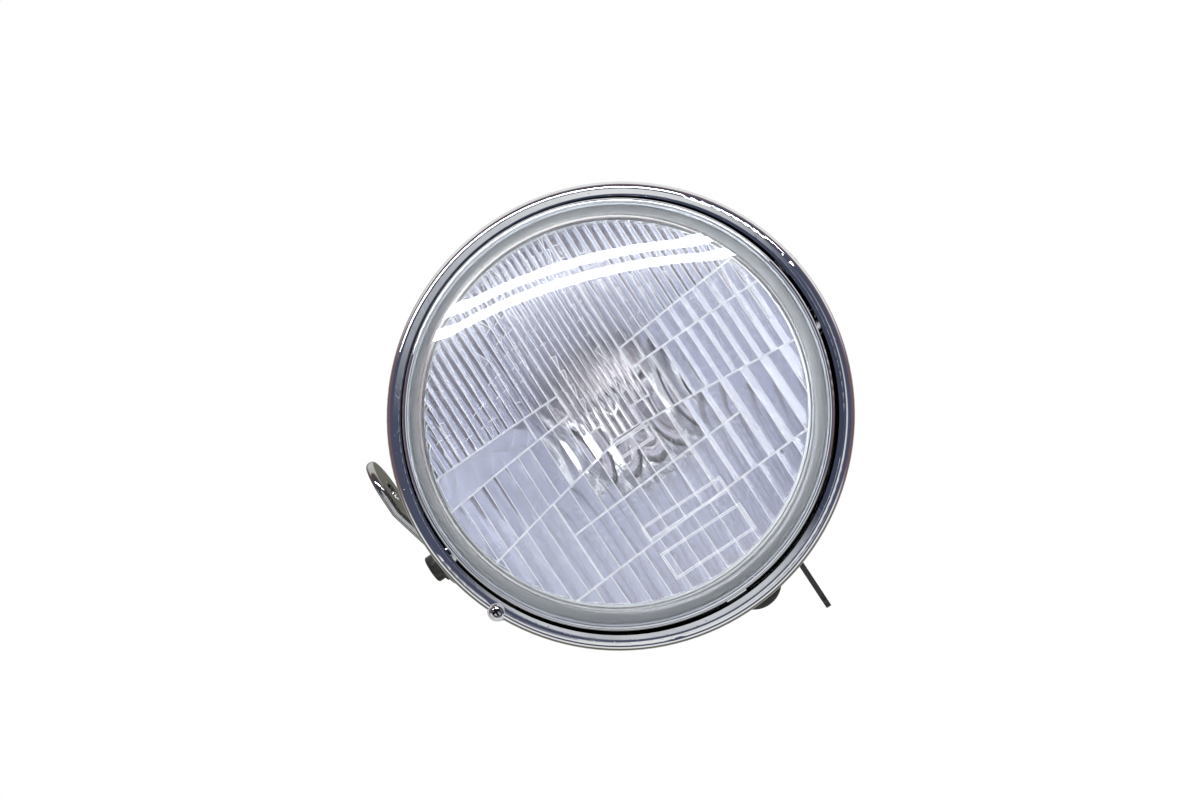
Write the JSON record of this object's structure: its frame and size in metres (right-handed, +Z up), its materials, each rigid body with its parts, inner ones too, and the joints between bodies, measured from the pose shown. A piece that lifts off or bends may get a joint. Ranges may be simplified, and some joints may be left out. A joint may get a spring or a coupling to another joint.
{
  "type": "motorcycle headlight",
  "caption": "Round chrome motorcycle headlight: fluted glass lens in a chrome ring, rounded rim, bowl-shaped shell, aim adjuster screw, side lug and lower tab",
  "frame": {"origin": "middle of the wire inlet in the back of the shell, on the axis of the lamp", "axes": "+Y runs backward along the axis of the lamp, out of the wire inlet; the lens faces -Y; +X is the right-hand side seen from the front; +Z is up"},
  "size_m": [0.2005, 0.171, 0.2044],
  "materials": {
    "chrome_shell": "bright chrome plating on pressed steel, light wear",
    "chrome_rim": "bright chrome plating, light pitting at the inner edge",
    "chrome_ring": "bright chrome plating",
    "chrome_lug": "bright chrome plating, polished edges",
    "plated_screws": "zinc plated steel, slightly stained",
    "zinc_steel": "zinc plated pressed steel",
    "spring_steel": "bare spring wire",
    "nylon": "natural nylon",
    "dark_steel": "blackened steel",
    "black_paint": "satin black paint",
    "black_rubber": "black moulded rubber",
    "lens_glass": "pressed clear glass, fluted inside, smooth outside",
    "sealant": "grey sealing gasket",
    "mirror_coat": "aluminised mirror coat on pressed steel",
    "plated_base": "nickel plated steel",
    "bulb_glass": "clear quartz glass, dark coat on the tip",
    "filament_wire": "bare wire",
    "brass_blades": "tinned brass blades"
  },
  "bodies": {
    "housing": {"shell": "chrome_shell", "rim": "chrome_rim", "rim_screws": "plated_screws", "rim_nuts": "zinc_steel", "side_lug": "chrome_lug", "lug_bolt": "dark_steel", "aim_tab": "black_paint", "tab_rivets": "dark_steel", "drain_plug": "black_rubber", "wire_grommet": "black_rubber", "pivot_brackets": "zinc_steel", "adjuster_spring": "spring_steel"},
    "beam_unit": {"unit_ring": "chrome_ring", "pivot_pins": "zinc_steel", "adjuster_nut": "nylon", "dust_boot": "black_rubber", "lens": "lens_glass", "lens_seal": "sealant", "reflector": "mirror_coat", "bulb_base": "plated_base", "bulb_glass": "bulb_glass", "bulb_shield": "plated_base", "bulb_filaments": "filament_wire", "bulb_terminals": "brass_blades", "bulb_clip": "spring_steel"},
    "adjuster": {"adjuster_screw": "plated_screws"}
  },
  "joints": [
    {"name": "beam_aim", "type": "hinge", "parent": "housing", "child": "beam_unit", "pos_m": [0, -0.1298, 0], "axis": [0, 0, 1], "range_deg": [-2, 2], "deforming": ["adjuster_spring"]},
    {"name": "screw_turn", "type": "hinge", "parent": "housing", "child": "adjuster", "pos_m": [-0.08324, -0.13, -0.03953], "axis": [0, 1, 0], "range_deg": [-1800, 1800]}
  ],
  "couplings": [
    {"joint": "screw_turn", "follows": "beam_aim", "ratio": 871.71}
  ]
}
